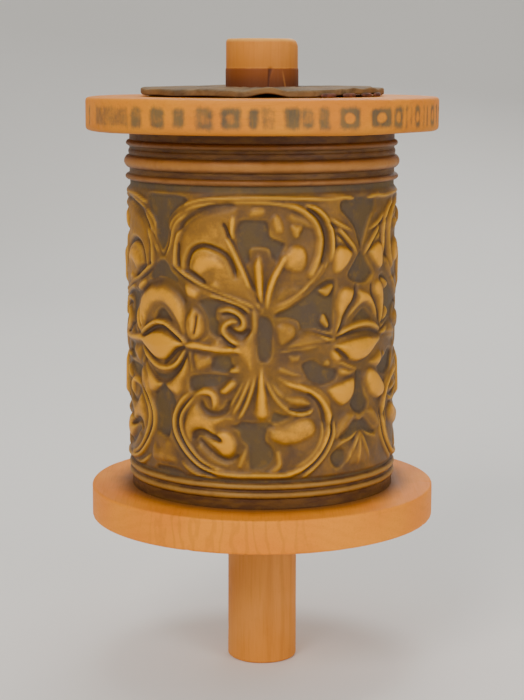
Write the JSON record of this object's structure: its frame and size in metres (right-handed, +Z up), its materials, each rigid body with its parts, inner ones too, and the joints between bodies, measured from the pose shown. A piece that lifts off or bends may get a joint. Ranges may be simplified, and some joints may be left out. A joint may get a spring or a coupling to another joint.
{
  "type": "prayer wheel",
  "caption": "Prayer wheel: an ornamented drum of rolled printed prayers between two wooden discs, turning on an upright wooden axle.",
  "frame": {"origin": "centre of the axle's foot, on the plane that the foot stands on", "axes": "+Z up along the axle, which is the axis the drum turns about; -Y is the front, and the sleeve's seam is at the back right, midway between +Y and +X"},
  "size_m": [0.1668, 0.1668, 0.3],
  "materials": {
    "axle_wood": "bare turned softwood, stained above the drum",
    "collar_wood": "bare hardwood",
    "peg_wood": "bare whittled hardwood",
    "washer_leather": "greased hide",
    "disc_wood": "bare turned board, matt",
    "painted_disc_wood": "bare turned board with a worn painted band on the rim",
    "plug_wood": "bare sawn wood",
    "bush_wood": "oiled hardwood",
    "chart_card": "handmade card",
    "prayer_paper": "tightly rolled handmade paper",
    "wrapper_cloth": "plain woven cotton",
    "tie_cord": "twisted cotton cord",
    "liner_wood": "thin bent wood",
    "gilt_relief": "aged gilt relief over a dull grey-brown ground",
    "tack_brass": "tarnished, domed",
    "gilt_moulding": "worn gilt over a dark ground",
    "cover_leather": "dry stiff hide, matt",
    "lacing_leather": "thin rawhide thong"
  },
  "bodies": {
    "axle": {"axle": "axle_wood", "support_collar": "collar_wood", "collar_pin": "peg_wood", "thrust_washer": "washer_leather"},
    "drum": {"lower_disc": "disc_wood", "upper_disc": "painted_disc_wood", "lower_plug": "plug_wood", "upper_plug": "plug_wood", "lower_bush": "bush_wood", "upper_bush": "bush_wood", "core_tube": "plug_wood", "lower_disc_pegs": "peg_wood", "upper_disc_pegs": "peg_wood", "earth_wheel_chart": "chart_card", "sky_wheel_chart": "chart_card", "prayer_roll": "prayer_paper", "roll_wrapper": "wrapper_cloth", "roll_ties": "tie_cord", "drum_liner": "liner_wood", "embossed_sleeve": "gilt_relief", "seam_tacks": "tack_brass", "lower_moulding": "gilt_moulding", "upper_moulding": "gilt_moulding", "leather_cover": "cover_leather", "cover_lacing": "lacing_leather"}
  },
  "joints": [
    {"name": "drum_spin", "type": "hinge", "parent": "axle", "child": "drum", "pos_m": [0, 0, 0.1723], "axis": [0, 0, 1], "continuous": true}
  ]
}
